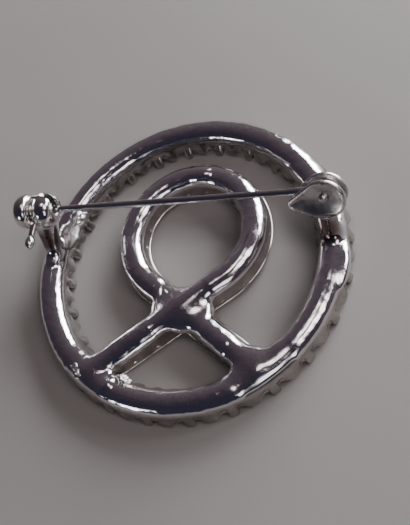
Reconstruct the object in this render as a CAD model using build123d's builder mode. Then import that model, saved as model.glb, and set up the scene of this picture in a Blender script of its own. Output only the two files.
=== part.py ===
from build123d import *

import math
import os

# Ribbon brooch, lying face down with its pin up. Millimetres.
# Origin: middle of the ring, on the surface under the claws.
# +Z rises to the pin, +Y points to the top of the ribbon's loop.

# Round back of the ring and the walls under it
ring_radius = 16.74
ring_back_width = 2.52
ring_back_height = 1.26
setting_height = 2.4
wall_foot = 0.6
inner_wall_lean = 0.83
outer_wall_lean = 0.5

# Ring stones and their claws
ring_stone_diameter = 3.1
ring_stone_gap = 1.2
stone_circle_inset = 0.14
ring_crown = 0.5
ring_girdle = 0.12
ring_pavilion = 1.25
table_lift = 0.2
seat_clearance = 0.05
claw_width = 1.3
claw_length = 1.15
inner_claw_reach = 2.3
outer_claw_reach = 2.05
claw_root_inset = 0.25
claw_tip_chamfer = 0.16

# Ribbon: a round loop with two straight strands that cross and run out to the ring
loop_radius = 7.35
loop_centre_x = 0.5
loop_centre_y = 3.0
strand_slope = 36.6
ribbon_back_width = 2.3
ribbon_level = 2.2
over_rise = 0.75
under_dip = 0.3
ribbon_foot_width = 3.2
ribbon_neck_width = 1.6
ribbon_foot = 0.7
crossing_web_radius = 2.15
crossing_web_height = 2.65
web_round = 0.5
flare_length = 3.4
left_flare_width = 3.6
right_flare_width = 4.8
flare_height = 2.5

# Ribbon stones and the beads of metal that hold them
ribbon_stone_diameter = 2.4
ribbon_stone_gap = 0.25
ribbon_crown = 0.38
ribbon_girdle = 0.1
ribbon_pavilion = 0.9
ribbon_table_lift = 0.35
bead_diameter = 0.95
bead_offset = 1.2
bead_tip = 0.22

# Pin, hinge and catch: the pin's axis runs along X
pin_offset = 4.1
pin_height = 7.7
fitting_offset = 0.35
fitting_tilt = 30
rivet_drop = 0.4
pin_diameter = 0.76
pin_point_length = 2.6
pin_point_gap = 0.2
pin_point_diameter = 0.16
pin_shoulder_diameter = 0.9
pin_shoulder_length = 1.3
pin_taper_length = 1.4
pin_root_inset = 0.5
tongue_width = 1.0
tongue_diameter = 2.8
rivet_diameter = 0.8
rivet_hole_clearance = 0.02
rivet_running_clearance = 0.05
rivet_head_diameter = 1.5
rivet_head_height = 0.35
tongue_side_clearance = 0.05
tongue_floor_clearance = 0.3
ear_diameter = 4.6
ear_thickness = 0.5
ear_round = 0.15
hinge_foot_diameter = 1.9
hinge_post_diameter = 2.0

barrel_length = 4.8
barrel_diameter = 3.9
barrel_end_diameter = 2.75
barrel_waist_diameter = 3.1
barrel_groove = 1.2
sleeve_diameter = 2.2
sleeve_bore = 1.2
sleeve_length = 4.4
sleeve_clearance = 0.05
sleeve_slot = 0.96
mouth_width = 1.1
lever_width = 0.96
lever_thickness = 0.7
lever_length = 4.4
lever_knob_diameter = 1.2
lever_clearance = 0.15
catch_pad_width = 2.3
catch_pad_length = 4.6
catch_pad_height = 0.4
catch_pad_round = 0.3
catch_pad_drop = 2.9
catch_post_width = 1.8
catch_post_spread = 2.4
catch_post_offset = 0.6
catch_post_head_offset = 1.1

# Heights and radii that follow from the sizes above
stone_circle = ring_radius - stone_circle_inset
ring_girdle_low = table_lift + ring_crown
ribbon_girdle_low = ribbon_table_lift + ribbon_crown
back_top = setting_height + ring_back_height
stone_count = int(2 * math.pi * stone_circle // (ring_stone_diameter + ring_stone_gap))
stone_step = 360 / stone_count
fitting_x = math.sqrt((ring_radius + fitting_offset) ** 2 - pin_offset**2)
catch_centre = Vector(-fitting_x, pin_offset, pin_height)
pin_root = Vector(fitting_x, pin_offset, pin_height)

# Hinge and catch lean towards +Y: the pin swings out along swing_way, about a rivet along rivet_way
tilt = math.radians(fitting_tilt)
swing_way = Vector(0, math.sin(tilt), math.cos(tilt))
rivet_way = Vector(0, -math.cos(tilt), math.sin(tilt))
hinge_centre = pin_root - swing_way * rivet_drop

# Plan of the ribbon: where the strands cross, leave the loop and meet the ring
slope = math.radians(strand_slope)
crossing = Vector(loop_centre_x, loop_centre_y - loop_radius / math.cos(slope))
strand_length = loop_radius * math.tan(slope)
arc_start = strand_slope - 90
arc_size = 180 - 2 * arc_start
loop_length = 2 * strand_length + loop_radius * math.radians(arc_size)


def tail_length(side, reach):
    """Length of a tail from the crossing out to a circle round the ring's middle."""
    heading = Vector(side * math.cos(slope), -math.sin(slope))
    along = crossing.dot(heading)
    return math.sqrt(along**2 - crossing.length**2 + reach**2) - along


def tail_point(side, distance):
    """Point on a tail; side is -1 for the left one and 1 for the right one."""
    return crossing + Vector(side * math.cos(slope), -math.sin(slope)) * distance


def on_loop(angle, radius=loop_radius):
    """Point at an angle round the loop's centre."""
    turn = math.radians(angle)
    return Vector(loop_centre_x + radius * math.cos(turn), loop_centre_y + radius * math.sin(turn))


def ribbon_place(distance):
    """Point and heading on the loop, counted from the crossing along the right strand."""
    arc_end = loop_length - strand_length
    if distance < strand_length:
        point = crossing + Vector(math.cos(slope), math.sin(slope)) * distance
        return point, strand_slope
    if distance < arc_end:
        angle = arc_start + math.degrees((distance - strand_length) / loop_radius)
        return on_loop(angle), angle + 90
    point = crossing + Vector(-math.cos(slope), math.sin(slope)) * (loop_length - distance)
    return point, -strand_slope


def at_height(point, height):
    """The plan point raised to a height."""
    return Vector(point.X, point.Y, height)


def bend_radii(points):
    """For each corner of a path, a radius that its two runs leave room for."""
    radii = []
    for before, corner, after in zip(points, points[1:], points[2:]):
        into = corner - before
        out = after - corner
        half_turn = math.radians(into.get_angle(out)) / 2
        radii.append(0.45 * min(into.length, out.length) / math.tan(half_turn))
    return radii


def frustum(sides, turn, wide, narrow, height):
    """Straight-sided block from a polygon on the ground to a smaller one above it."""
    with BuildPart() as block:
        with BuildSketch():
            RegularPolygon(wide, sides, major_radius=False, rotation=turn)
        with BuildSketch(Plane.XY.offset(height)):
            RegularPolygon(narrow, sides, major_radius=False, rotation=turn)
        loft(ruled=True)
    return block.part


def facet_row(row, radius, height):
    """One row of facets, its girdle end on the ground."""
    sides, turn, girdle_share, tip_share = row
    return frustum(sides, turn, radius * girdle_share, radius * tip_share, height)


# Facet rows: sides, turn, distance of the facets from the axis at the girdle and at the tip,
# both as shares of the stone's radius
brilliant_crown = [(8, 0, 1.03, 0.56), (16, 11.25, 0.985, 0.62), (8, 22.5, 1.3, 0.53)]
brilliant_pavilion = [(8, 0, 1.02, 0.06), (16, 11.25, 0.985, 0.1)]
simple_crown = [(8, 0, 0.97, 0.56)]
simple_pavilion = [(8, 22.5, 0.97, 0.08)]


def cut_stone(diameter, crown, girdle, pavilion, table_height, crown_rows, pavilion_rows):
    """Faceted stone with its table facing down."""
    radius = diameter / 2
    upper = facet_row(pavilion_rows[0], radius, pavilion)
    for row in pavilion_rows[1:]:
        upper = upper & facet_row(row, radius, pavilion)
    lower = facet_row(crown_rows[0], radius, crown)
    for row in crown_rows[1:]:
        lower = lower & facet_row(row, radius, crown)
    girdle_low = table_height + crown
    with BuildPart() as stone:
        add(lower.mirror(Plane.XY).moved(Location((0, 0, girdle_low))))
        with BuildSketch(Plane.XY.offset(girdle_low)):
            RegularPolygon(radius * pavilion_rows[-1][2], pavilion_rows[-1][0], major_radius=False,
                           rotation=pavilion_rows[-1][1])
        extrude(amount=girdle)
        add(upper.moved(Location((0, 0, girdle_low + girdle))))
    return stone.part


def stone_seat(diameter, crown, girdle, pavilion, table_height, table_share):
    """Round hollow that a stone lies in, larger than the stone by the seat clearance."""
    rim = diameter / 2 + seat_clearance
    girdle_low = table_height + crown
    with BuildPart() as seat:
        with BuildSketch(Plane.XZ):
            with BuildLine():
                Polyline(
                    (0, table_height - seat_clearance),
                    (diameter / 2 * table_share + seat_clearance, table_height - seat_clearance),
                    (rim, girdle_low - seat_clearance),
                    (rim, girdle_low + girdle + seat_clearance),
                    (0, girdle_low + girdle + pavilion + 2 * seat_clearance),
                    close=True,
                )
            make_face()
        revolve(axis=Axis.Z)
    return seat.part


# Round back of the ring over the walls that carry the stones
with BuildPart() as ring_body:
    inner_edge = ring_radius - ring_back_width / 2
    outer_edge = ring_radius + ring_back_width / 2
    with BuildSketch(Plane.XZ):
        with BuildLine():
            ThreePointArc((inner_edge, setting_height), (ring_radius, back_top), (outer_edge, setting_height))
            Polyline(
                (outer_edge, setting_height),
                (outer_edge + outer_wall_lean, wall_foot),
                (inner_edge - inner_wall_lean, wall_foot),
                (inner_edge, setting_height),
            )
        make_face()
    revolve(axis=Axis.Z)

# The two claws between neighbouring stones, on the X axis at their own radius
with BuildPart() as claw_pair:
    inner_tip = stone_circle - inner_claw_reach
    outer_tip = stone_circle + outer_claw_reach
    with BuildSketch(Plane.XZ):
        with BuildLine():
            Polyline(
                (inner_tip, claw_tip_chamfer),
                (inner_tip + claw_tip_chamfer, 0),
                (inner_tip + claw_length, 0),
                (inner_edge + claw_root_inset + claw_length / 2, setting_height),
                (inner_edge + claw_root_inset, setting_height),
                close=True,
            )
        make_face()
        with BuildLine():
            Polyline(
                (outer_tip, claw_tip_chamfer),
                (outer_tip - claw_tip_chamfer, 0),
                (outer_tip - claw_length, 0),
                (outer_edge - claw_root_inset - claw_length / 2, setting_height),
                (outer_edge - claw_root_inset, setting_height),
                close=True,
            )
        make_face()
    extrude(amount=claw_width / 2, both=True)

# Flanks of the ribbon's right half, from the left tail's end to the top of the loop
with BuildPart() as right_flanks:
    left_tail_end = tail_point(-1, tail_length(-1, inner_edge))
    with BuildLine() as right_plan:
        Line(left_tail_end, on_loop(arc_start))
        CenterArc((loop_centre_x, loop_centre_y), loop_radius, arc_start, arc_size / 2)
    with BuildSketch(Plane(left_tail_end, x_dir=(-math.sin(slope), math.cos(slope), 0),
                           z_dir=(math.cos(slope), math.sin(slope), 0))):
        with BuildLine():
            Polyline(
                (-ribbon_foot_width / 2, ribbon_foot),
                (ribbon_foot_width / 2, ribbon_foot),
                (ribbon_neck_width / 2, ribbon_level),
                (-ribbon_neck_width / 2, ribbon_level),
                close=True,
            )
        make_face()
    sweep(path=right_plan.line)

# Flanks of the left half: the same plan mirrored, its own tail as long as the ring asks
with BuildPart() as left_flanks:
    right_tail_end = tail_point(1, tail_length(1, inner_edge))
    with BuildLine() as left_plan:
        Line(right_tail_end, on_loop(180 - arc_start))
        CenterArc((loop_centre_x, loop_centre_y), loop_radius, 180 - arc_start, -arc_size / 2)
    with BuildSketch(Plane(right_tail_end, x_dir=(-math.sin(slope), -math.cos(slope), 0),
                           z_dir=(-math.cos(slope), math.sin(slope), 0))):
        with BuildLine():
            Polyline(
                (-ribbon_foot_width / 2, ribbon_foot),
                (ribbon_foot_width / 2, ribbon_foot),
                (ribbon_neck_width / 2, ribbon_level),
                (-ribbon_neck_width / 2, ribbon_level),
                close=True,
            )
        make_face()
    sweep(path=left_plan.line)

# Corners of the two back ridges round half the loop, and their share of the rise or dip
loop_corners = 5
corner_step = arc_size / 2 / loop_corners
corner_reach = loop_radius / math.cos(math.radians(corner_step) / 2)
rise_shares = [0.95, 0.75, 0.45, 0.15, 0]
dip_shares = [1, 0.85, 0.5, 0.15, 0]
corner_angles = [arc_start + corner_step * (index + 0.5) for index in range(loop_corners)]

over_points = [at_height(tail_point(-1, tail_length(-1, ring_radius)), ribbon_level)]
over_points.append(at_height(crossing, ribbon_level + over_rise))
for angle, share in zip(corner_angles, rise_shares):
    over_points.append(at_height(on_loop(angle, corner_reach), ribbon_level + over_rise * share))
over_points.append(at_height(on_loop(90), ribbon_level))

under_points = [at_height(tail_point(1, tail_length(1, ring_radius)), ribbon_level)]
under_points.append(at_height(tail_point(1, flare_length), ribbon_level + under_dip / 2))
under_points.append(at_height(crossing, ribbon_level - under_dip))
for angle, share in zip(corner_angles, dip_shares):
    under_points.append(at_height(on_loop(180 - angle, corner_reach), ribbon_level - under_dip * share))
under_points.append(at_height(on_loop(90), ribbon_level))

# Back ridge of the strand that passes over at the crossing
with BuildPart() as over_ridge:
    with BuildLine() as over_path:
        FilletPolyline(*over_points, radius=bend_radii(over_points))
    with BuildSketch(Plane(over_path.line @ 0, z_dir=over_path.line % 0)):
        Circle(ribbon_back_width / 2)
    sweep(path=over_path.line)

# Back ridge of the strand that passes under
with BuildPart() as under_ridge:
    with BuildLine() as under_path:
        FilletPolyline(*under_points, radius=bend_radii(under_points))
    with BuildSketch(Plane(under_path.line @ 0, z_dir=under_path.line % 0)):
        Circle(ribbon_back_width / 2)
    sweep(path=under_path.line)

# Metal that fills the corners of the crossing
with BuildPart() as crossing_web:
    with BuildSketch(Plane(at_height(crossing, ribbon_foot))):
        Circle(crossing_web_radius)
    extrude(amount=crossing_web_height - ribbon_foot)
    fillet(crossing_web.faces().sort_by(Axis.Z)[-1].edges(), web_round)


def tail_flare(side, width):
    """Widening of a tail where it runs into the ring."""
    end = tail_length(side, ring_radius)
    heading = (side * math.cos(slope), -math.sin(slope), 0)
    across = (side * math.sin(slope), math.cos(slope), 0)
    start = at_height(tail_point(side, end - flare_length), ribbon_level)
    start_plane = Plane(start, x_dir=across, z_dir=heading)
    end_plane = Plane(at_height(tail_point(side, end), ribbon_level), x_dir=across, z_dir=heading)
    with BuildPart() as flare:
        with BuildSketch(start_plane):
            Ellipse(ribbon_back_width / 2 * 0.97, ribbon_back_width / 2 * 0.97)
        with BuildSketch(end_plane):
            Ellipse(width / 2, flare_height / 2)
        loft()
    return flare.part


left_flare = tail_flare(-1, left_flare_width)
right_flare = tail_flare(1, right_flare_width)

# Bead of metal beside two ribbon stones
with BuildPart() as bead:
    with BuildSketch(Plane.XY.offset(bead_tip)):
        Circle(bead_diameter / 2)
    extrude(amount=ribbon_girdle_low + ribbon_girdle + ribbon_pavilion / 2 - bead_tip)
    chamfer(bead.faces().sort_by(Axis.Z)[0].edges(), claw_tip_chamfer)

# Places of the ribbon stones and of the beads between them
ribbon_pitch = ribbon_stone_diameter + ribbon_stone_gap
loop_gaps = int(loop_length // ribbon_pitch)
loop_pitch = loop_length / loop_gaps
claw_circle = stone_circle - inner_claw_reach
ribbon_stones_at = [crossing]
beads_at = []
for gap in range(loop_gaps):
    if gap > 0:
        ribbon_stones_at.append(ribbon_place(gap * loop_pitch)[0])
    middle, heading = ribbon_place((gap + 0.5) * loop_pitch)
    for side in (-1, 1):
        across = math.radians(heading + 90 * side)
        beads_at.append(middle + Vector(math.cos(across), math.sin(across)) * bead_offset)
for side in (-1, 1):
    tail_room = tail_length(side, claw_circle) - ribbon_stone_diameter / 2
    tail_stones = int(tail_room // ribbon_pitch)
    tail_pitch = tail_room / tail_stones
    for place in range(tail_stones):
        ribbon_stones_at.append(tail_point(side, (place + 1) * tail_pitch))
        middle = tail_point(side, (place + 0.5) * tail_pitch)
        for edge in (-1, 1):
            across = Vector(edge * side * math.sin(slope), edge * math.cos(slope)) * bead_offset
            beads_at.append(middle + across)

# Hinge: two round ears on a post that leans up from the ring
hinge_plane = Plane(hinge_centre, x_dir=(1, 0, 0), z_dir=rivet_way)
slot_width = tongue_width + 2 * tongue_side_clearance
hinge_width = slot_width + 2 * ear_thickness
slot_floor = hinge_centre - swing_way * (tongue_diameter / 2 + tongue_floor_clearance)
post_top = hinge_centre - swing_way * (ear_diameter / 2 - ear_round)
solder_depth = ring_back_height / 2
hinge_foot_y = hinge_centre.Y - (hinge_centre.Z - back_top) * math.tan(tilt)
hinge_foot_x = math.sqrt(ring_radius**2 - hinge_foot_y**2)
with BuildPart() as hinge_ears:
    with BuildSketch(hinge_plane):
        Circle(ear_diameter / 2)
    extrude(amount=hinge_width / 2, both=True)
    fillet(hinge_ears.edges().filter_by(GeomType.CIRCLE), ear_round)
    with BuildSketch(Plane((hinge_foot_x, hinge_foot_y, back_top - solder_depth))):
        Circle(hinge_foot_diameter / 2)
    with BuildSketch(Plane(post_top, x_dir=(1, 0, 0), z_dir=swing_way)):
        Circle(hinge_post_diameter / 2)
    loft()
    with BuildSketch(Plane(slot_floor, x_dir=(1, 0, 0), z_dir=swing_way)):
        Rectangle(ear_diameter + hinge_foot_diameter, slot_width)
    extrude(amount=ear_diameter + tongue_diameter, mode=Mode.SUBTRACT)
    with BuildSketch(hinge_plane):
        Circle(rivet_diameter / 2 + rivet_hole_clearance)
    extrude(amount=hinge_width, both=True, mode=Mode.SUBTRACT)

# Catch: a barrel of two domes, its mouth along swing_way, on a post that leans up from a soldered pad
catch_plane = Plane(catch_centre, x_dir=(1, 0, 0), z_dir=(0, -1, 0))
across_catch = Plane(catch_centre, x_dir=(0, 1, 0), z_dir=(1, 0, 0))
half_barrel = barrel_length / 2
dome_middle = (half_barrel + barrel_groove / 2) / 2
pad_angle = 180 - math.degrees(math.asin((pin_offset - catch_pad_drop) / ring_radius))
pad_centre = Vector(ring_radius * math.cos(math.radians(pad_angle)), pin_offset - catch_pad_drop)
bore_radius = sleeve_diameter / 2 + sleeve_clearance
mouth_plane = Plane(catch_centre, x_dir=(1, 0, 0), z_dir=swing_way)
lever_gap = lever_thickness / 2 + lever_clearance
with BuildPart() as catch_barrel:
    with BuildSketch(catch_plane):
        with BuildLine():
            ThreePointArc(
                (-half_barrel, barrel_end_diameter / 2),
                (-dome_middle, barrel_diameter / 2),
                (-barrel_groove / 2, barrel_waist_diameter / 2),
            )
            Line(
                (-barrel_groove / 2, barrel_waist_diameter / 2),
                (barrel_groove / 2, barrel_waist_diameter / 2),
            )
            ThreePointArc(
                (barrel_groove / 2, barrel_waist_diameter / 2),
                (dome_middle, barrel_diameter / 2),
                (half_barrel, barrel_end_diameter / 2),
            )
            Polyline(
                (half_barrel, barrel_end_diameter / 2),
                (half_barrel, 0),
                (-half_barrel, 0),
                (-half_barrel, barrel_end_diameter / 2),
            )
        make_face()
    revolve(axis=Axis(catch_centre, (1, 0, 0)))
    with BuildSketch(Plane(at_height(pad_centre, back_top - solder_depth), x_dir=(0, 1, 0))):
        SlotOverall(catch_pad_length, catch_pad_width)
    extrude(amount=solder_depth + catch_pad_height)
    fillet(catch_barrel.faces().filter_by(Axis.Z).sort_by(Axis.Z)[-1].edges(), catch_pad_round)
    with BuildSketch(Plane(at_height(pad_centre + Vector(catch_post_offset, 0), back_top))):
        RectangleRounded(catch_post_width, catch_post_spread, catch_post_width / 4)
    post_head = catch_centre + Vector(catch_post_head_offset, 0) - swing_way * barrel_diameter / 4
    with BuildSketch(Plane(post_head)):
        RectangleRounded(catch_post_width, catch_post_width, catch_post_width / 4)
    loft()
    with BuildSketch(across_catch):
        Circle(bore_radius)
    extrude(amount=barrel_length, both=True, mode=Mode.SUBTRACT)
    with BuildSketch(mouth_plane):
        Rectangle(2 * barrel_length, mouth_width)
    extrude(amount=barrel_diameter, mode=Mode.SUBTRACT)
    with BuildSketch(catch_plane.offset(-lever_gap)):
        with Locations((0, barrel_diameter / 2 - lever_gap)):
            Rectangle(barrel_groove, barrel_diameter)
    extrude(amount=barrel_diameter, mode=Mode.SUBTRACT)

ring_seat = stone_seat(ring_stone_diameter, ring_crown, ring_girdle, ring_pavilion, table_lift, 0.62)
ribbon_seat = stone_seat(
    ribbon_stone_diameter, ribbon_crown, ribbon_girdle, ribbon_pavilion, ribbon_table_lift, 0.62
)

# All the soldered and cast metal is one solid
with BuildPart() as brooch_frame:
    add(ring_body.part)
    with PolarLocations(0, stone_count, start_angle=stone_step / 2):
        add(claw_pair.part)
    add(right_flanks.part)
    add(left_flanks.part)
    add(over_ridge.part)
    add(under_ridge.part)
    add(crossing_web.part)
    add(left_flare)
    add(right_flare)
    with Locations(*beads_at):
        add(bead.part)
    add(hinge_ears.part)
    add(catch_barrel.part)
    with PolarLocations(stone_circle, stone_count):
        add(ring_seat, mode=Mode.SUBTRACT)
    with Locations(*ribbon_stones_at):
        add(ribbon_seat, mode=Mode.SUBTRACT)

# Stones
ring_stone = cut_stone(
    ring_stone_diameter, ring_crown, ring_girdle, ring_pavilion, table_lift,
    brilliant_crown, brilliant_pavilion,
)
small_stone = cut_stone(
    ribbon_stone_diameter, ribbon_crown, ribbon_girdle, ribbon_pavilion, ribbon_table_lift,
    simple_crown, simple_pavilion,
)
with BuildPart() as ribbon_stones:
    with Locations(*ribbon_stones_at):
        add(small_stone)

# Rivet of the hinge, its heads outside the ears
with BuildPart() as hinge_rivet:
    with BuildSketch(hinge_plane):
        Circle(rivet_diameter / 2)
    extrude(amount=hinge_width / 2 + rivet_hole_clearance, both=True)
    for side in (-1, 1):
        head_base = hinge_centre + rivet_way * side * (hinge_width / 2 + rivet_hole_clearance)
        with BuildSketch(Plane(head_base, x_dir=(1, 0, 0), z_dir=rivet_way * side)):
            Circle(rivet_head_diameter / 2)
        extrude(amount=rivet_head_height)
    head_rims = hinge_rivet.edges().filter_by(GeomType.CIRCLE).group_by(Axis(hinge_centre, rivet_way))
    fillet(head_rims[0] + head_rims[-1], rivet_head_height * 0.8)

# Pin: wire with a riveted tongue at the hinge and a ground point in the catch
point_start = catch_centre.X + barrel_length / 2 + pin_point_gap
with BuildPart() as pin_stem:
    with BuildSketch(Plane(pin_root, x_dir=(1, 0, 0), z_dir=rivet_way)):
        with BuildLine():
            shoulder_end = -tongue_diameter / 2 - pin_shoulder_length
            wire_start = shoulder_end - pin_taper_length
            point_base = point_start - pin_root.X
            root_end = pin_root_inset - tongue_diameter / 2
            Polyline(
                (root_end, 0),
                (root_end, pin_shoulder_diameter / 2),
                (shoulder_end, pin_shoulder_diameter / 2),
                (wire_start, pin_diameter / 2),
                (point_base, pin_diameter / 2),
                (point_base - pin_point_length, pin_point_diameter / 2),
                (point_base - pin_point_length, 0),
                close=True,
            )
        make_face()
    revolve(axis=Axis(pin_root, (1, 0, 0)))
    with BuildSketch(hinge_plane):
        Circle(tongue_diameter / 2)
    extrude(amount=tongue_width / 2, both=True)
    with BuildSketch(hinge_plane):
        Circle(rivet_diameter / 2 + rivet_running_clearance)
    extrude(amount=tongue_width, both=True, mode=Mode.SUBTRACT)

# Turning sleeve of the catch with its thumb lever
with BuildPart() as catch_lever:
    with BuildSketch(across_catch):
        Circle(sleeve_diameter / 2)
    extrude(amount=sleeve_length / 2, both=True)
    knob_centre = catch_centre - Vector(0, lever_length, 0)
    with BuildSketch(catch_plane.offset(sleeve_bore / 2)):
        Rectangle(lever_width, lever_thickness)
    extrude(amount=lever_length - sleeve_bore / 2)
    with BuildSketch(Plane(knob_centre, x_dir=(0, 1, 0), z_dir=(1, 0, 0))):
        Circle(lever_knob_diameter / 2)
    extrude(amount=lever_width / 2, both=True)
    with BuildSketch(across_catch):
        Circle(sleeve_bore / 2)
    extrude(amount=sleeve_length, both=True, mode=Mode.SUBTRACT)
    with BuildSketch(mouth_plane):
        Rectangle(2 * sleeve_length, sleeve_slot)
    extrude(amount=sleeve_diameter, mode=Mode.SUBTRACT)

pieces = {
    "brooch_frame": brooch_frame.part,
    "ribbon_stones": ribbon_stones.part,
    "hinge_rivet": hinge_rivet.part,
    "pin_stem": pin_stem.part,
    "catch_lever": catch_lever.part,
}
for index, place in enumerate(PolarLocations(stone_circle, stone_count)):
    pieces[f"ring_stone_{index + 1:02d}"] = ring_stone.moved(place)

os.makedirs("parts", exist_ok=True)
for name, piece in pieces.items():
    piece.label = name
    export_step(piece, f"parts/{name}.step")
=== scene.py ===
"""Looks of the ribbon brooch: camera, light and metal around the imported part.

Pieces are modelled in millimetres and brought to metres when they are finished.
"""

import math

import bmesh
import bpy
from mathutils import Matrix, Vector


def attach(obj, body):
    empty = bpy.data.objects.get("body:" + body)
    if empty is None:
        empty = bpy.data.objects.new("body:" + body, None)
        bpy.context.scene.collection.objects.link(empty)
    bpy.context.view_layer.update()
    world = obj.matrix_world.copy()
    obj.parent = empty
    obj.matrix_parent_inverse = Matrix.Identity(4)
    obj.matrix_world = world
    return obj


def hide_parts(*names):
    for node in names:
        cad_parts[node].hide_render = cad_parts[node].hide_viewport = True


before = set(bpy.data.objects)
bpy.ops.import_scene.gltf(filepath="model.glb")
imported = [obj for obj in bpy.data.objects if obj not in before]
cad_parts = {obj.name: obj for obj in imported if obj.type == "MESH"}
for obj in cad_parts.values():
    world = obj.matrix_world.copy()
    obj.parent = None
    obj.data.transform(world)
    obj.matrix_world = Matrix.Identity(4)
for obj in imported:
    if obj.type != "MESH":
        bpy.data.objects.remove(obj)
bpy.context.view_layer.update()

MILLIMETRE = 0.001

# Ring: round back over two leaning walls that carry 24 stones
RING_RADIUS = 16.6
BACK_RADIUS = 1.5
BACK_HEIGHT = 1.25
BACK_LEVEL = 1.95
STONE_CIRCLE = 16.6
STONES = 24
STONE_DEGREES = 360 / STONES
STONE_STEP = math.radians(STONE_DEGREES)

# Ribbon: round loop, crossing strands, tails
LOOP_CENTRE = Vector((0.5, 3.0, 0))
LOOP_RADIUS = 7.35
SLOPE = math.radians(36.6)
CROSSING = LOOP_CENTRE - Vector((0, LOOP_RADIUS / math.cos(SLOPE), 0))
STRAND = LOOP_RADIUS * math.tan(SLOPE)
RIBBON_RADIUS = 1.15
RIBBON_HALF_WIDTH = 1.42
RIBBON_LEVEL = 2.2
OVER_RISE = 0.5
UNDER_DIP = 0.05
TAIL_ENDS = {-1: 12.63, 1: 12.01}

# Hinge and catch lean towards +Y
TILT = math.radians(30)
SWING_WAY = Vector((0, math.sin(TILT), math.cos(TILT)))
RIVET_WAY = Vector((0, -math.cos(TILT), math.sin(TILT)))
HINGE = Vector((16.5911, 3.9, 7.3536))
CATCH = Vector((-16.5911, 4.1, 7.7))
HINGE_FOOT = Vector((16.6, 1.5, 2.7))
CATCH_FOOT = Vector((-16.3, 1.1, 2.7))

# Camera, from the ring's circle in the photo
VIEW_TARGET = Vector((1.616, 0.305, 0))
VIEW_DISTANCE = 90.236
VIEW_AZIMUTH = math.radians(40.5)
VIEW_HEIGHT = math.radians(57.703)
VIEW_ROLL = math.radians(-38.37)
VIEW_LENS = 54.857


# Handling pieces

def take(*pieces):
    """Select these pieces and nothing else; the first is the active one."""
    bpy.ops.object.select_all(action="DESELECT")
    for piece in pieces:
        piece.select_set(True)
    bpy.context.view_layer.objects.active = pieces[0]


def named(name):
    """Name the piece just added, with its place in its mesh."""
    piece = bpy.context.object
    bpy.ops.object.transform_apply(location=True, rotation=True, scale=True)
    piece.name = name
    piece.data.name = name
    return piece


def pick(piece, test):
    """In edit mode select the faces whose middle and normal pass the test."""
    bpy.ops.mesh.select_mode(type="FACE")
    bpy.ops.mesh.select_all(action="DESELECT")
    mesh = bmesh.from_edit_mesh(piece.data)
    for face in mesh.faces:
        face.select_set(bool(test(face.calc_center_median(), face.normal)))
    bmesh.update_edit_mesh(piece.data)


def pick_corners(piece, test):
    """In edit mode select the corners whose place passes the test."""
    bpy.ops.mesh.select_mode(type="VERT")
    bpy.ops.mesh.select_all(action="DESELECT")
    mesh = bmesh.from_edit_mesh(piece.data)
    for corner in mesh.verts:
        corner.select_set(bool(test(corner.co)))
    bmesh.update_edit_mesh(piece.data)


def drawn_face(name, corners):
    """Flat face drawn corner by corner."""
    bpy.ops.mesh.primitive_plane_add(size=0.01, location=corners[0])
    face = named(name)
    take(face)
    bpy.ops.object.mode_set(mode="EDIT")
    bpy.ops.mesh.select_mode(type="VERT")
    bpy.ops.mesh.select_all(action="SELECT")
    bpy.ops.mesh.merge(type="CENTER")
    for here, there in zip(corners, corners[1:]):
        bpy.ops.mesh.extrude_vertices_move(TRANSFORM_OT_translate={"value": there - here})
    bpy.ops.mesh.select_all(action="SELECT")
    bpy.ops.mesh.edge_face_add()
    bpy.ops.object.mode_set(mode="OBJECT")
    return face


def clean(piece):
    """Merge doubles and turn the faces outwards."""
    take(piece)
    bpy.ops.object.mode_set(mode="EDIT")
    bpy.ops.mesh.select_all(action="SELECT")
    bpy.ops.mesh.remove_doubles(threshold=0.0005)
    bpy.ops.mesh.normals_make_consistent(inside=False)
    bpy.ops.object.mode_set(mode="OBJECT")


def apply_all(piece):
    """Apply the piece's modifiers in order."""
    take(piece)
    for modifier in list(piece.modifiers):
        bpy.ops.object.modifier_apply(modifier=modifier.name)


def bevelled(piece, width, segments=3, angle=35):
    """Round the piece's edges."""
    rounding = piece.modifiers.new("rounding", "BEVEL")
    rounding.width = width
    rounding.segments = segments
    rounding.limit_method = "ANGLE"
    rounding.angle_limit = math.radians(angle)
    rounding.harden_normals = False
    apply_all(piece)


def cut(piece, cutter):
    """Take the cutter's shape out of the piece."""
    hollow = piece.modifiers.new("hollow", "BOOLEAN")
    hollow.operation = "DIFFERENCE"
    hollow.solver = "EXACT"
    hollow.object = cutter
    apply_all(piece)


def cut_away(piece, cutter):
    """Take the cutter's shape out of the piece and drop the cutter."""
    cut(piece, cutter)
    bpy.data.objects.remove(cutter)


def block(name, place, size, turned=None):
    """Box at a place, level or turned by a matrix."""
    bpy.ops.mesh.primitive_cube_add(size=1, location=place)
    bpy.context.object.scale = size
    if turned is not None:
        bpy.context.object.matrix_world = Matrix.Translation(place) @ turned @ Matrix.Diagonal((*size, 1))
    return named(name)


def add_clouds(piece, name, lump_size, depth, strength):
    """Modifier that pushes the surface in and out by clouds; the caller applies it."""
    clouds = bpy.data.textures.new(name, "CLOUDS")
    clouds.noise_scale = lump_size
    clouds.noise_depth = depth
    push = piece.modifiers.new(name, "DISPLACE")
    push.texture = clouds
    push.strength = strength
    push.mid_level = 0.5


def joined(name, pieces):
    """One piece of several."""
    take(*pieces)
    bpy.ops.object.join()
    piece = bpy.context.object
    piece.name = name
    piece.data.name = name
    return piece


def twin(piece, name, place):
    """A copy with its own mesh, moved by a matrix."""
    copy = piece.copy()
    copy.data = piece.data.copy()
    copy.name = name
    copy.data.name = name
    copy.data.transform(place)
    bpy.context.collection.objects.link(copy)
    return copy


def facing(way, across=Vector((1, 0, 0))):
    """Rotation whose Z runs along way and whose X stays near across."""
    along = way.normalized()
    side = (across - along * across.dot(along)).normalized()
    return Matrix((side, along.cross(side), along)).transposed().to_4x4()


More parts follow.
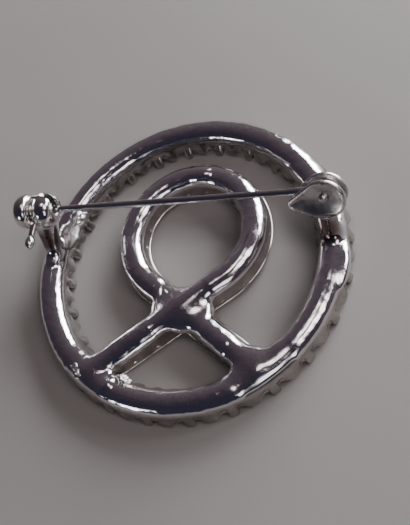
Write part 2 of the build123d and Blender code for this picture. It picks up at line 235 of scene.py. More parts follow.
def lump(name, place, radii, turn=0):
    """A drop of solder: a ball pressed to three radii, turned about Z by degrees."""
    bpy.ops.mesh.primitive_uv_sphere_add(segments=20, ring_count=12, radius=1, location=place,
                                         rotation=(0, 0, math.radians(turn)))
    bpy.context.object.scale = radii
    return named(name)


def lathe(name, profile, place, vertices=96):
    """Turned piece: rings of a closed profile (radius, distance along Z), then brought to its place."""
    bpy.ops.mesh.primitive_circle_add(vertices=vertices, radius=profile[0][0], fill_type="NOTHING")
    piece = named(name)
    take(piece)
    bpy.ops.object.mode_set(mode="EDIT")
    bpy.ops.mesh.select_all(action="SELECT")
    bpy.ops.transform.translate(value=(0, 0, profile[0][1]))
    radius, level = profile[0]
    for next_radius, next_level in profile[1:]:
        bpy.ops.mesh.extrude_edges_move(TRANSFORM_OT_translate={"value": (0, 0, next_level - level)})
        grown = next_radius / radius
        bpy.ops.transform.resize(value=(grown, grown, 1), center_override=(0, 0, next_level))
        radius, level = next_radius, next_level
    bpy.ops.object.mode_set(mode="OBJECT")
    clean(piece)
    piece.data.transform(place)
    return piece


def finish_piece(piece, body, finish, node, smooth=40):
    """Bring the piece to metres, shade it, give it its finish and put it on its body."""
    take(piece)
    piece.scale = (MILLIMETRE, MILLIMETRE, MILLIMETRE)
    bpy.ops.object.transform_apply(location=True, rotation=True, scale=True)
    bpy.ops.object.shade_smooth_by_angle(angle=math.radians(smooth))
    piece.data.materials.clear()
    piece.data.materials.append(finish)
    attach(piece, body)
    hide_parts(node)


def finish_cast(piece, finish, smooth=40):
    """Finish a piece of the cast and soldered metal."""
    finish_piece(piece, "brooch", finish, "brooch_frame", smooth)


# Camera, light and floor

def place_camera():
    """Camera at the photo's angle."""
    back = Vector((
        math.sin(VIEW_AZIMUTH) * math.cos(VIEW_HEIGHT),
        -math.cos(VIEW_AZIMUTH) * math.cos(VIEW_HEIGHT),
        math.sin(VIEW_HEIGHT),
    ))
    level = Vector((math.cos(VIEW_AZIMUTH), math.sin(VIEW_AZIMUTH), 0))
    raised = back.cross(level)
    right = level * math.cos(VIEW_ROLL) + raised * math.sin(VIEW_ROLL)
    up = raised * math.cos(VIEW_ROLL) - level * math.sin(VIEW_ROLL)
    lens = bpy.data.cameras.new("view")
    lens.lens = VIEW_LENS
    lens.sensor_width = 36
    lens.clip_start = 0.005
    lens.clip_end = 10
    camera = bpy.data.objects.new("view", lens)
    bpy.context.collection.objects.link(camera)
    turned = Matrix((right, up, back)).transposed().to_4x4()
    place = (VIEW_TARGET + back * VIEW_DISTANCE) * MILLIMETRE
    camera.matrix_world = Matrix.Translation(place) @ turned
    bpy.context.scene.camera = camera


# Soft lights: name, azimuth from +X and height in degrees, distance, width and depth in metres, power, colour
LIGHTS = (
    ("tall_softbox", -5, 54, 0.42, 0.13, 0.2, 0.42, (1, 0.94, 0.92)),
    ("overhead", 60, 82, 0.8, 0.16, 0.16, 0.4, (1, 0.92, 0.9)),
    ("window", 60, 19, 0.28, 0.19, 0.155, 2.0, (0.95, 0.99, 1.04)),
    ("side_window", 27, 29, 0.5, 0.11, 0.13, 0.8, (0.97, 0.99, 1.03)),
    ("front_window", -53, 34, 1.0, 0.26, 0.4, 1.0, (1, 0.96, 0.95)),
    ("side_lamp", -130, 15, 1.2, 0.22, 0.16, 1.5, (1, 1, 1)),
)

# Direction in which the room is brightest, and its shades from the dark side to the bright one
BRIGHT_WAY = (0.255, 0.951, -0.174)
ROOM_SHADES = (
    (0.15, (0.026, 0.027, 0.044, 1)),
    (1.0, (0.18, 0.16, 0.16, 1)),
    (0.38, (0.05, 0.037, 0.05, 1)),
    (0.62, (0.092, 0.073, 0.09, 1)),
)


def soft_light(name, azimuth, height, distance, width, depth, power, colour):
    """Rectangular soft light that looks at the brooch."""
    turn, rise = math.radians(azimuth), math.radians(height)
    way = Vector((math.cos(turn) * math.cos(rise), math.sin(turn) * math.cos(rise), math.sin(rise)))
    lamp = bpy.data.lights.new(name, "AREA")
    lamp.shape = "RECTANGLE"
    lamp.size = width
    lamp.size_y = depth
    lamp.energy = power
    lamp.color = colour
    light = bpy.data.objects.new(name, lamp)
    bpy.context.collection.objects.link(light)
    turned = way.to_track_quat("Z", "Y").to_matrix().to_4x4()
    light.matrix_world = Matrix.Translation(way * distance) @ turned


def light_room():
    """Dim room with a few soft lights."""
    world = bpy.data.worlds.new("dim_room")
    bpy.context.scene.world = world
    world.use_nodes = True
    nodes, links = world.node_tree.nodes, world.node_tree.links
    nodes.clear()
    output = nodes.new("ShaderNodeOutputWorld")
    room = nodes.new("ShaderNodeBackground")
    way = nodes.new("ShaderNodeTexCoord")
    towards = nodes.new("ShaderNodeVectorMath")
    towards.operation = "DOT_PRODUCT"
    towards.inputs[1].default_value = BRIGHT_WAY
    shade = nodes.new("ShaderNodeValToRGB")
    points = shade.color_ramp.elements
    for point, (position, colour) in zip(points, ROOM_SHADES[:2]):
        point.position = position
        point.color = colour
    for position, colour in ROOM_SHADES[2:]:
        points.new(position).color = colour
    halved = nodes.new("ShaderNodeMapRange")
    halved.inputs["From Min"].default_value = -1.0
    links.new(way.outputs["Generated"], towards.inputs[0])
    links.new(towards.outputs["Value"], halved.inputs["Value"])
    links.new(halved.outputs["Result"], shade.inputs["Fac"])
    links.new(shade.outputs["Color"], room.inputs["Color"])
    links.new(room.outputs["Background"], output.inputs["Surface"])
    for light in LIGHTS:
        soft_light(*light)


# Materials

def new_finish(name):
    """Empty material: its nodes, its links, its shader and its place on the piece in millimetres."""
    finish = bpy.data.materials.new(name)
    finish.use_nodes = True
    nodes, links = finish.node_tree.nodes, finish.node_tree.links
    nodes.clear()
    output = nodes.new("ShaderNodeOutputMaterial")
    shader = nodes.new("ShaderNodeBsdfPrincipled")
    links.new(shader.outputs["BSDF"], output.inputs["Surface"])
    place = nodes.new("ShaderNodeTexCoord")
    ruler = nodes.new("ShaderNodeMapping")
    ruler.inputs["Scale"].default_value = (1 / MILLIMETRE,) * 3
    links.new(place.outputs["Object"], ruler.inputs["Vector"])
    return finish, nodes, links, shader, ruler.outputs["Vector"]


def speckle(nodes, links, where, scale, detail=2.0, rough=0.5):
    """Noise on the piece; scale is lumps a millimetre."""
    noise = nodes.new("ShaderNodeTexNoise")
    noise.inputs["Scale"].default_value = scale
    noise.inputs["Detail"].default_value = detail
    noise.inputs["Roughness"].default_value = rough
    links.new(where, noise.inputs["Vector"])
    return noise.outputs["Fac"]


def ramp(nodes, links, value, *stops):
    """Colours along a value; each stop is a position and a grey level or a colour."""
    shade = nodes.new("ShaderNodeValToRGB")
    points = shade.color_ramp.elements
    while len(points) < len(stops):
        points.new(0.5)
    for point, (position, colour) in zip(points, stops):
        if isinstance(colour, (int, float)):
            colour = (colour, colour, colour)
        point.position = position
        point.color = (*colour, 1)
    links.new(value, shade.inputs["Fac"])
    return shade.outputs["Color"]


def between(nodes, links, value, low, high):
    """The value brought between two numbers."""
    scale = nodes.new("ShaderNodeMapRange")
    scale.inputs["To Min"].default_value = low
    scale.inputs["To Max"].default_value = high
    links.new(value, scale.inputs["Value"])
    return scale.outputs["Result"]


def raised_by(nodes, links, height, strength, distance, below=None):
    """Bump from a height, over another bump if there is one; distance in millimetres."""
    bump = nodes.new("ShaderNodeBump")
    bump.inputs["Strength"].default_value = strength
    bump.inputs["Distance"].default_value = distance * MILLIMETRE
    links.new(height, bump.inputs["Height"])
    if below is not None:
        links.new(below, bump.inputs["Normal"])
    return bump.outputs["Normal"]


# Turn of long marks about the three axes, in radians
MARK_TURN = (0.2, 0.1, 0.65)


def stretched(nodes, links, where, scale):
    """The place on the piece, stretched for long marks."""
    ruler = nodes.new("ShaderNodeMapping")
    ruler.inputs["Scale"].default_value = scale
    ruler.inputs["Rotation"].default_value = MARK_TURN
    links.new(where, ruler.inputs["Vector"])
    return ruler.outputs["Vector"]


# Painted dark reflection round the hinge leg and the catch neck, where the mirror metal looks dark: middle and
# reach
PAINTED_DARK_SPOTS = (((15.7, 1.9, 4.2), 3.0), ((-16.4, 2.2, 4.6), 2.4))
PAINTED_DARK_TINT = (0.2, 0.15, 0.14)


def painted_dark_reflection(nodes, links, where, colour, middle, reach):
    """Painted dark reflection: the colour darkened round a middle, fading out by its reach."""
    gap = nodes.new("ShaderNodeVectorMath")
    gap.operation = "DISTANCE"
    gap.inputs[1].default_value = middle
    links.new(where, gap.inputs[0])
    share = nodes.new("ShaderNodeMapRange")
    share.inputs["From Max"].default_value = reach
    links.new(gap.outputs["Value"], share.inputs["Value"])
    darkening = nodes.new("ShaderNodeMix")
    darkening.data_type = "RGBA"
    darkening.blend_type = "MULTIPLY"
    darkening.inputs["Factor"].default_value = 1
    links.new(colour, darkening.inputs["A"])
    links.new(ramp(nodes, links, share.outputs["Result"], (0.5, PAINTED_DARK_TINT), (1.0, 1.0)), darkening.inputs["B"])
    return darkening.outputs["Result"]


def plated_finish(name, light_tint, dark_tint, base_roughness, waviness, dark_spots=()):
    """Bright plating over hand-finished metal: slow waves, fine scratches, dull specks, and painted dark
    reflections round the given spots.
    """
    finish, nodes, links, shader, where = new_finish(name)
    waves = speckle(nodes, links, where, 0.45, 1.0)
    grain = speckle(nodes, links, where, 5.0, 4.0, 0.6)
    scratches = speckle(nodes, links, stretched(nodes, links, where, (0.6, 9.0, 3.0)), 3.0, 3.0, 0.7)
    colour = ramp(nodes, links, grain, (0.3, dark_tint), (0.62, light_tint))
    # Painted dark reflection round each spot
    for middle, reach in dark_spots:
        colour = painted_dark_reflection(nodes, links, where, colour, middle, reach)
    links.new(colour, shader.inputs["Base Color"])
    shader.inputs["Metallic"].default_value = 1.0
    links.new(between(nodes, links, grain, base_roughness * 0.5, base_roughness * 1.6),
              shader.inputs["Roughness"])
    ripples = speckle(nodes, links, where, 1.6, 2.0)
    slow = raised_by(nodes, links, waves, 1.0, waviness)
    slow = raised_by(nodes, links, ripples, 1.0, waviness * 0.5, slow)
    marks = ramp(nodes, links, scratches, (0.42, 0.0), (0.5, 1.0))
    links.new(raised_by(nodes, links, marks, 0.35, 0.0025, slow), shader.inputs["Normal"])
    return finish


def satin_finish(name, light_tint, dark_tint, roughness):
    """Plating left as cast, softly dull: slow clouds of tone and a fine even grain."""
    finish, nodes, links, shader, where = new_finish(name)
    cloud = speckle(nodes, links, where, 0.7, 2.0)
    links.new(ramp(nodes, links, cloud, (0.35, dark_tint), (0.65, light_tint)), shader.inputs["Base Color"])
    shader.inputs["Metallic"].default_value = 1.0
    links.new(between(nodes, links, cloud, roughness * 0.8, roughness * 1.2), shader.inputs["Roughness"])
    grain = speckle(nodes, links, where, 9.0, 1.0)
    slow = raised_by(nodes, links, speckle(nodes, links, where, 0.9, 1.0), 1.0, 0.03)
    links.new(raised_by(nodes, links, grain, 0.3, 0.0015, slow), shader.inputs["Normal"])
    return finish


def wire_finish():
    """Drawn steel with fine slanting lines."""
    finish, nodes, links, shader, where = new_finish("pin_steel")
    lines = speckle(nodes, links, stretched(nodes, links, where, (0.3, 14.0, 14.0)), 2.0, 2.0)
    links.new(ramp(nodes, links, lines, (0.35, (0.5, 0.47, 0.49)), (0.65, (0.66, 0.63, 0.65))),
              shader.inputs["Base Color"])
    shader.inputs["Metallic"].default_value = 1.0
    links.new(between(nodes, links, lines, 0.1, 0.2), shader.inputs["Roughness"])
    links.new(raised_by(nodes, links, lines, 0.4, 0.004), shader.inputs["Normal"])
    return finish


def stone_finish():
    """Clear cut glass."""
    finish, nodes, links, shader, where = new_finish("cut_stone")
    cloud = speckle(nodes, links, where, 0.8, 1.0)
    links.new(ramp(nodes, links, cloud, (0.3, (0.93, 0.95, 0.98)), (0.7, (0.98, 0.99, 1.0))),
              shader.inputs["Base Color"])
    links.new(between(nodes, links, cloud, 0.0, 0.02), shader.inputs["Roughness"])
    shader.inputs["IOR"].default_value = 1.56
    shader.inputs["Transmission Weight"].default_value = 1.0
    return finish


def floor_finish():
    """Pale matt floor."""
    finish, nodes, links, shader, where = new_finish("pale_floor")
    cloud = speckle(nodes, links, where, 0.02, 2.0)
    links.new(ramp(nodes, links, cloud, (0.3, (0.25, 0.228, 0.218)), (0.7, (0.272, 0.251, 0.24))),
              shader.inputs["Base Color"])
    shader.inputs["Roughness"].default_value = 0.6
    shader.inputs["Specular IOR Level"].default_value = 0.2
    return finish


def lay_floor():
    """Plain floor under the claws."""
    bpy.ops.mesh.primitive_plane_add(size=3, location=(0, 0, -0.00002))
    floor = named("floor")
    floor.data.materials.append(floor_finish())


# The cast back: ring, ribbon, flares, hinge leg and catch neck in one skin

# Steps of a strand along its tail, past the crossing and round the loop
TAIL_STEPS = 8
STRAND_STEPS = 3
LOOP_STEPS = 26

# How fast a strand comes back to its level: at 1.25 it is level four fifths of the way round
FALL_RATE = 1.25


def heading_at(degrees):
    """Level unit vector, so many degrees from +X."""
    return Vector((math.cos(math.radians(degrees)), math.sin(math.radians(degrees)), 0))


def ribbon_stations(side):
    """Places along one strand from its tail's end to the top of the loop.

    Each is a point, its heading in degrees and how far the strand is along its rise or dip.
    The strand that starts at the left tail heads up to the right.
    """
    slope = math.degrees(SLOPE)
    heading = slope if side < 0 else 180 - slope
    way = heading_at(heading)
    stations = []
    for step in range(TAIL_STEPS + 1):
        back = TAIL_ENDS[side] * (1 - step / TAIL_STEPS)
        stations.append((CROSSING - way * back, heading, 1 - (back / TAIL_ENDS[side])))
    for step in range(1, STRAND_STEPS + 1):
        stations.append((CROSSING + way * STRAND * step / STRAND_STEPS, heading, 1.0))
    turn = -side
    sweep = 180 - slope
    for step in range(1, LOOP_STEPS + 1):
        share = step / LOOP_STEPS
        angle = (slope - 90 if side < 0 else 270 - slope) + turn * sweep * share
        fall = 0.5 + 0.5 * math.cos(math.pi * min(1, share * FALL_RATE))
        stations.append((LOOP_CENTRE + heading_at(angle) * LOOP_RADIUS, heading + turn * sweep * share, fall))
    return stations


def pull_section(piece, stations, lift):
    """Extrude a section face along the stations, turning it with the heading."""
    take(piece)
    bpy.ops.object.mode_set(mode="EDIT")
    bpy.ops.mesh.select_all(action="SELECT")
    place, heading, share = stations[0]
    for next_place, next_heading, next_share in stations[1:]:
        step = next_place - place + Vector((0, 0, (next_share - share) * lift))
        bpy.ops.mesh.extrude_region_move(TRANSFORM_OT_translate={"value": step})
        if next_heading != heading:
            bpy.ops.transform.rotate(value=math.radians(heading - next_heading), orient_axis="Z",
                                     center_override=next_place)
        place, heading, share = next_place, next_heading, next_share
    bpy.ops.object.mode_set(mode="OBJECT")
    clean(piece)


def strand_ridge(side, name):
    """Round back of one strand."""
    stations = ribbon_stations(side)
    place, heading, _ = stations[0]
    bpy.ops.mesh.primitive_circle_add(
        vertices=28, radius=RIBBON_RADIUS, fill_type="NGON",
        location=place + Vector((0, 0, RIBBON_LEVEL)),
        rotation=(math.pi / 2, 0, math.radians(heading) + math.pi / 2),
    )
    bpy.context.object.scale = (RIBBON_HALF_WIDTH / RIBBON_RADIUS, 1, 1)
    ridge = named(name)
    pull_section(ridge, stations, OVER_RISE if side < 0 else -UNDER_DIP)
    return ridge


# Half section of a strand's wall: across and up, from the ridge down to the lip round its foot
WALL_SECTION = (
    (1.2, 2.2), (1.34, 1.7), (1.44, 1.15), (1.5, 0.72), (1.57, 0.7), (1.64, 0.62), (1.64, 0.52),
    (1.57, 0.45), (1.4, 0.44),
)


def strand_wall(side, seats, finish):
    """Walls of one strand, wide at the foot and narrow under the ridge, with a thin lip round the foot."""
    stations = ribbon_stations(side)
    place, heading, _ = stations[0]
    across = heading_at(heading + 90)
    corners = [place + across * offset + Vector((0, 0, level)) for offset, level in WALL_SECTION]
    corners += [place - across * offset + Vector((0, 0, level)) for offset, level in reversed(WALL_SECTION)]
    wall = drawn_face("over_wall" if side < 0 else "under_wall", corners)
    pull_section(wall, stations, 0)
    cut(wall, seats)
    finish_cast(wall, finish, smooth=35)


# Flare of a tail: length and the radii of its two ends
FLARE_LENGTH = 3.4
FLARE_START = RIBBON_RADIUS * 0.97
FLARE_END = 1.25


def tail_flare(side, width, name):
    """Tail's end, spread where it runs into the ring."""
    slope = math.degrees(SLOPE)
    way = -heading_at(slope if side < 0 else 180 - slope)
    end = CROSSING + way * TAIL_ENDS[side]
    start = end - way * FLARE_LENGTH
    bpy.ops.mesh.primitive_cone_add(vertices=28, radius1=FLARE_START, radius2=FLARE_END, depth=FLARE_LENGTH)
    place = Matrix.Translation((start + end) / 2 + Vector((0, 0, RIBBON_LEVEL)))
    bpy.context.object.matrix_world = place @ facing(way, Vector((0, 0, 1)))
    flare = named(name)
    take(flare)
    bpy.ops.object.mode_set(mode="EDIT")
    turn = math.atan2(way.y, way.x)
    for sense, centre, stretch in ((-1, start, RIBBON_HALF_WIDTH / RIBBON_RADIUS),
                                   (1, end, width / 2 / FLARE_END)):
        pick(flare, lambda middle, normal: normal.dot(way) * sense > 0.9)
        bpy.ops.transform.resize(value=(1, stretch, 1), orient_type="GLOBAL",
                                 orient_matrix=Matrix.Rotation(turn, 3, "Z"), orient_matrix_type="GLOBAL",
                                 center_override=centre + Vector((0, 0, RIBBON_LEVEL)))
    bpy.ops.object.mode_set(mode="OBJECT")
    return flare


# Solder and fillets: name, middle, three radii, turn about Z in degrees
SOLDER = (
    ("crossing_web", (0.5, -6.16, 2.2), (3.5, 2.6, 1.45), 0),
    ("crossing_right", (2.9, -6.3, 2.1), (1.5, 1.3, 1.2), 0),
    ("crossing_low", (0.6, -7.9, 2.1), (1.6, 1.2, 1.2), 0),
    ("crossing_left", (-1.9, -6.2, 2.1), (1.5, 1.3, 1.2), 0),
    ("crossing_high", (0.4, -4.4, 2.1), (1.5, 1.0, 1.1), 0),
    ("right_junction", (9.5, -12.3, 2.1), (2.6, 1.9, 1.3), -34),
    ("right_fillet_high", (11.5, -10.9, 2.05), (2.2, 1.1, 1.15), 46),
    ("right_fillet_low", (7.7, -13.5, 2.05), (2.2, 1.1, 1.15), 30),
    ("left_junction", (-8.9, -12.9, 2.15), (2.3, 1.6, 1.2), 36),
    ("left_fillet_high", (-10.9, -11.5, 2.05), (1.8, 1.0, 1.1), -44),
    ("left_fillet_low", (-6.6, -14.3, 2.05), (2.0, 1.0, 1.1), -23),
    ("left_drop", (-6.7, -14.9, 2.8), (1.2, 0.95, 0.65), -20),
    ("loop_swell_high", (0.95, 10.2, 2.6), (2.3, 1.25, 1.05), -3),
    ("loop_swell_right", (7.6, 3.6, 2.5), (1.3, 2.4, 1.05), 0),
    ("hinge_solder", (16.7, 1.6, 2.95), (1.1, 1.5, 0.55), 0),
    ("hinge_shoulder", (17.3, -1.2, 2.2), (1.25, 3.4, 0.8), 0),
    ("catch_pad", (-16.4, 1.0, 2.9), (1.15, 2.1, 0.65), 0),
)

# Joints melted smooth: middle, reach and number of passes
MELTED = (
    (CROSSING + Vector((0, 0, 2.2)), 4.2, 70),
    (Vector((9.7, -12.2, 2.2)), 3.9, 70),
    (Vector((-9.0, -12.8, 2.2)), 3.4, 60),
    (Vector((-16.1, 2.0, 4.6)), 2.3, 30),
    (Vector((16.6, 1.9, 3.8)), 1.7, 20),
)

# Rough spots where solder ran and was left: middle, three radii, turn about Z in degrees
SCARS = (
    ((-1.6, -4.7, 2.7), (1.2, 0.85, 0.55), -37),
    ((-5.1, -14.4, 2.6), (1.1, 0.75, 0.55), -10),
    ((-10.4, -13.2, 2.6), (1.5, 0.9, 0.6), -52),
    ((-14.0, 5.3, 2.75), (0.4, 1.4, 0.35), -38),
)


def solder_scars(finish):
    """Rough spots of solder beside the joints."""
    scar = joined("solder_scars", [lump("scar", Vector(place), radii, turn) for place, radii, turn in SCARS])
    finer = scar.modifiers.new("finer", "SUBSURF")
    finer.levels = finer.render_levels = 2
    add_clouds(scar, "solder_crust", 0.38, 2, 0.5)
    apply_all(scar)
    finish_cast(scar, finish, smooth=60)


def round_post(name, foot, head, foot_radius, head_radius, head_way, flat=1.0, head_flat=1.0):
    """Leaning post between a level foot and a head that faces head_way; flat is depth to width."""
    bpy.ops.mesh.primitive_circle_add(vertices=28, radius=foot_radius, fill_type="NGON", location=foot)
    bpy.context.object.scale = (1, flat, 1)
    post = named(name)
    take(post)
    bpy.ops.object.mode_set(mode="EDIT")
    bpy.ops.mesh.select_all(action="SELECT")
    lean = math.atan2(head_way.y, head_way.z)
    steps = 5
    grown = (head_radius / foot_radius) ** (1 / steps)
    deepened = grown * (head_flat / flat) ** (1 / steps)
    for step in range(steps):
        here = foot.lerp(head, (step + 1) / steps)
        bpy.ops.mesh.extrude_region_move(TRANSFORM_OT_translate={"value": (head - foot) / steps})
        bpy.ops.transform.rotate(value=lean / steps, orient_axis="X", center_override=here)
        bpy.ops.transform.resize(value=(grown, deepened, grown), center_override=here)
    bpy.ops.object.mode_set(mode="OBJECT")
    clean(post)
    return post


# Hollow under a stone: radius at the girdle, height of its foot, of the girdle and of its tip
RING_SEAT = (1.6, 0.2, 0.87, 2.17)
RIBBON_SEAT = (1.25, 0.3, 0.88, 1.83)


def seat_cutter():
    """The hollows of all the stones, as one cutter."""
    cones = []

    def seat(place, rim, low, high, tip):
        """One hollow: a cone over a short cylinder."""
        bpy.ops.mesh.primitive_cone_add(vertices=24, radius1=rim, radius2=0.02, depth=tip - high,
                                        location=(place.x, place.y, (tip + high) / 2))
        cone = named("seat")
        take(cone)
        bpy.ops.object.mode_set(mode="EDIT")
        pick(cone, lambda middle, normal: normal.z < -0.9)
        bpy.ops.mesh.extrude_region_move(TRANSFORM_OT_translate={"value": (0, 0, low - high)})
        bpy.ops.object.mode_set(mode="OBJECT")
        cones.append(cone)

    for index in range(STONES):
        angle = STONE_STEP * index
        seat(Vector((math.cos(angle), math.sin(angle), 0)) * STONE_CIRCLE, *RING_SEAT)
    for place in ribbon_stone_places():
        seat(place, *RIBBON_SEAT)
    return joined("seats", cones)


def ribbon_stone_places():
    """Middles of the ribbon stones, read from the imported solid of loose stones."""
    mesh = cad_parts["ribbon_stones"].data
    links = {index: index for index in range(len(mesh.vertices))}

    def root(index):
        while links[index] != index:
            links[index] = links[links[index]]
            index = links[index]
        return index

    for edge in mesh.edges:
        first, second = (root(index) for index in edge.vertices)
        links[first] = second
    spots = {}
    for vertex in mesh.vertices:
        spots.setdefault(tuple(round(part, 6) for part in vertex.co), []).append(vertex.index)
    for same in spots.values():
        for index in same[1:]:
            links[root(index)] = root(same[0])
    stones = {}
    for vertex in mesh.vertices:
        stones.setdefault(root(vertex.index), []).append(vertex.co)
    places = []
    for corners in stones.values():
        low = [min(corner[axis] for corner in corners) for axis in range(2)]
        high = [max(corner[axis] for corner in corners) for axis in range(2)]
        places.append(Vector(((low[0] + high[0]) / 2, (low[1] + high[1]) / 2, 0)) / MILLIMETRE)
    return sorted(places, key=lambda place: (round(place.x, 3), round(place.y, 3)))


# Skin over the cast parts: voxel size and passes of smoothing
SKIN_VOXEL = 0.14
SKIN_PASSES = 16


def cast_back(finish):
    """Ring, ribbon, hinge leg and catch neck, melted into one smooth skin; gives back the cutter of the seats."""
    bpy.ops.mesh.primitive_torus_add(major_segments=192, minor_segments=28, major_radius=RING_RADIUS,
                                     minor_radius=BACK_RADIUS, location=(0, 0, BACK_LEVEL))
    bpy.context.object.scale = (1, 1, BACK_HEIGHT / BACK_RADIUS)
    parts = [named("ring_back")]
    parts.append(strand_ridge(-1, "over_ridge"))
    parts.append(strand_ridge(1, "under_ridge"))
    parts.append(tail_flare(-1, 3.8, "left_flare"))
    parts.append(tail_flare(1, 4.1, "right_flare"))
    for name, place, radii, turn in SOLDER:
        parts.append(lump(name, Vector(place), radii, turn))
    parts.append(round_post("hinge_leg", HINGE_FOOT, HINGE - SWING_WAY * 2.0, 0.97, 1.0, SWING_WAY))
    catch_seat = CATCH + Vector((0.5, 0, 0)) - SWING_WAY * 1.25
    parts.append(round_post("catch_neck", CATCH_FOOT, catch_seat, 1.0, 1.65, SWING_WAY, 1.15, 0.6))
    back = joined("cast_back", parts)
    skin = back.modifiers.new("skin", "REMESH")
    skin.mode = "VOXEL"
    skin.voxel_size = SKIN_VOXEL
    skin.use_smooth_shade = True
    polish = back.modifiers.new("polish", "SMOOTH")
    polish.factor = 0.5
    polish.iterations = SKIN_PASSES
    add_clouds(back, "hand_waves", 1.9, 1, 0.08)
    add_clouds(back, "polish_ripples", 0.8, 1, 0.045)
    apply_all(back)
    bpy.ops.object.mode_set(mode="EDIT")
    for middle, reach, passes in MELTED:
        pick_corners(back, lambda place: (place - middle).length < reach)
        bpy.ops.mesh.vertices_smooth(factor=0.5, repeat=passes)
    bpy.ops.object.mode_set(mode="OBJECT")
    seats = seat_cutter()
    cut(back, seats)
    finish_cast(back, finish, smooth=50)
    return seats


# Settings under the ring

# Section of the walls: distance from the axis and height
WALLS_OUTLINE = (
    (15.38, 2.45), (15.1, 2.12), (15.0, 1.8), (14.92, 1.4), (14.82, 1.0), (14.72, 0.75), (14.68, 0.62),
    (14.78, 0.56), (16.6, 0.56), (18.36, 0.56), (18.47, 0.62), (18.46, 0.75), (18.38, 1.0), (18.28, 1.4),
    (18.2, 1.8), (18.1, 2.12), (17.82, 2.45), (16.6, 2.7), (15.38, 2.45),
)

# Places at the foot of the walls: below this height, and this far round from a stone in degrees
WALL_FOOT = 0.7
AT_STONE = 0.8
BESIDE_CLAW = (4.4, 5.6)

# How far the foot drops at a stone and rises in the notch beside a claw
STONE_DROP = 0.16
NOTCH_RISE = 0.42

# Inner and outer wall: its growth at a stone and in the notch, and the test for its places
WALL_SIDES = (
    (0.989, 1.02, lambda place: place.xy.length < 15.2),
    (1.004, 0.983, lambda place: place.xy.length > 18),
)


def ring_walls(seats, finish):
    """Two leaning walls under the round back, their foot scalloped between the claws."""
    walls = lathe("ring_walls", WALLS_OUTLINE, Matrix.Identity(4), 240)
    take(walls)
    bpy.ops.object.mode_set(mode="EDIT")

    def beside_stone(place):
        """How far round the ring a place at the foot is from the nearest stone, in degrees."""
        turn = math.degrees(math.atan2(place.y, place.x) % STONE_STEP)
        return min(turn, STONE_DEGREES - turn) if place.z < WALL_FOOT else math.inf

    for grown, notched, on_wall in WALL_SIDES:
        pick_corners(walls, lambda place: beside_stone(place) < AT_STONE and on_wall(place))
        bpy.ops.transform.resize(value=(grown, grown, 1), center_override=(0, 0, 0),
                                 use_proportional_edit=True, proportional_edit_falloff="SMOOTH",
                                 proportional_size=1.5)
        bpy.ops.transform.translate(value=(0, 0, -STONE_DROP), use_proportional_edit=True,
                                    proportional_edit_falloff="SMOOTH", proportional_size=1.2)
        pick_corners(walls, lambda place: BESIDE_CLAW[0] < beside_stone(place) < BESIDE_CLAW[1] and on_wall(place))
        bpy.ops.transform.translate(value=(0, 0, NOTCH_RISE), use_proportional_edit=True,
                                    proportional_edit_falloff="SPHERE", proportional_size=0.6)
        bpy.ops.transform.resize(value=(notched, notched, 1), center_override=(0, 0, 0),
                                 use_proportional_edit=True, proportional_edit_falloff="SPHERE",
                                 proportional_size=0.7)
    bpy.ops.object.mode_set(mode="OBJECT")
    cut(walls, seats)
    finish_cast(walls, finish, smooth=35)


CLAW_DEPTH = 1.15
CLAW_HEIGHT = 2.2


def one_claw(name, tip, inward, lean, width):
    """Claw on the X axis, from the wall down over the edges of two stones."""
    claw = block(name, (tip + CLAW_DEPTH / 2 * inward, 0, CLAW_HEIGHT / 2), (CLAW_DEPTH, width, CLAW_HEIGHT))
    take(claw)
    bpy.ops.object.mode_set(mode="EDIT")
    pick(claw, lambda middle, normal: normal.z > 0.9)
    bpy.ops.transform.translate(value=(lean * inward, 0, 0))
    bpy.ops.transform.resize(value=(0.8, 0.8, 1), center_override=(tip + lean * inward, 0, CLAW_HEIGHT))
    pick(claw, lambda middle, normal: normal.z < -0.9)
    bpy.ops.transform.resize(value=(0.9, 0.85, 1), center_override=(tip, 0, 0))
    bpy.ops.object.mode_set(mode="OBJECT")
    bevelled(claw, 0.32, 5, 40)
    return claw


def ring_claws(finish):
    """An inner and an outer claw, modelled once and set round the ring."""
    pair = joined("claw_pair", [one_claw("inner_claw", STONE_CIRCLE - 2.3, 1, 1.06, 1.3),
                                one_claw("outer_claw", STONE_CIRCLE + 2.05, -1, 0.56, 1.4)])
    claws = [twin(pair, "claws", Matrix.Rotation(STONE_STEP * (index + 0.5), 4, "Z"))
             for index in range(STONES)]
    bpy.data.objects.remove(pair)
    finish_cast(joined("ring_claws", claws), finish, smooth=35)


# Beads beside the ribbon stones: their distance from the strand's middle, radius and height
BEAD_OFFSET = 1.2
BEAD_RADIUS = 0.36
BEAD_LEVEL = 0.58

# Gaps between the stones from the crossing round the loop, least room of a tail's stone, length of each tail
LOOP_GAPS = 16
RIBBON_PITCH = 2.65
TAIL_ROOMS = {-1: 8.98, 1: 8.37}


def bead_places():
    """Middles of the beads, two beside each gap between neighbouring ribbon stones."""
    slope = math.degrees(SLOPE)
    loop_arc = 360 - 2 * (90 - slope)
    loop_length = 2 * STRAND + LOOP_RADIUS * math.radians(loop_arc)
    places = []
    for gap in range(LOOP_GAPS):
        along = (gap + 0.5) * loop_length / LOOP_GAPS
        if along < STRAND:
            place, heading = CROSSING + heading_at(slope) * along, slope
        elif along < loop_length - STRAND:
            angle = slope - 90 + math.degrees((along - STRAND) / LOOP_RADIUS)
            place, heading = LOOP_CENTRE + heading_at(angle) * LOOP_RADIUS, angle + 90
        else:
            place, heading = CROSSING + heading_at(180 - slope) * (loop_length - along), 180 - slope
        places += [place + heading_at(heading + edge) * BEAD_OFFSET for edge in (-90, 90)]
    for side, room in TAIL_ROOMS.items():
        heading = 180 + slope if side < 0 else -slope
        stones = int(room // RIBBON_PITCH)
        for index in range(stones):
            place = CROSSING + heading_at(heading) * room * (index + 0.5) / stones
            places += [place + heading_at(heading + edge) * BEAD_OFFSET for edge in (-90, 90)]
    return places


